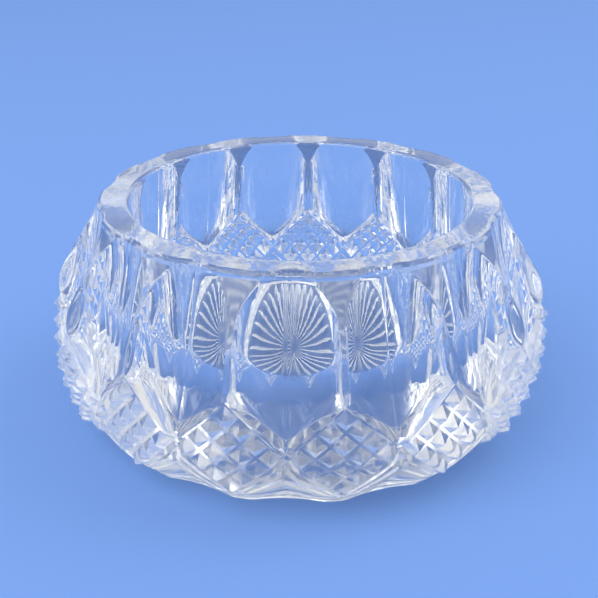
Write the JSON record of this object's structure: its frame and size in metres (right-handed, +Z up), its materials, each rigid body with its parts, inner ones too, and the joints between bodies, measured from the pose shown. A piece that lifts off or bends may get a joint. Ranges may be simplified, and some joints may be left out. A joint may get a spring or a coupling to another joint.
{
  "type": "salt cellar",
  "caption": "Open table salt cellar: a heavy clear pressed-glass barrel bowl with tall flutes, lozenges of small diamonds round the belly and a star-cut base.",
  "frame": {"origin": "centre of the foot ring, on the plane that the bowl rests on", "axes": "+Z up along the bowl's axis towards the mouth, -Y towards the pictured side"},
  "size_m": [0.0707, 0.0707, 0.0315],
  "materials": {
    "clear_glass": "fire-polished clear pressed glass"
  },
  "bodies": {
    "root": {"glass_bowl": "clear_glass"}
  },
  "joints": []
}
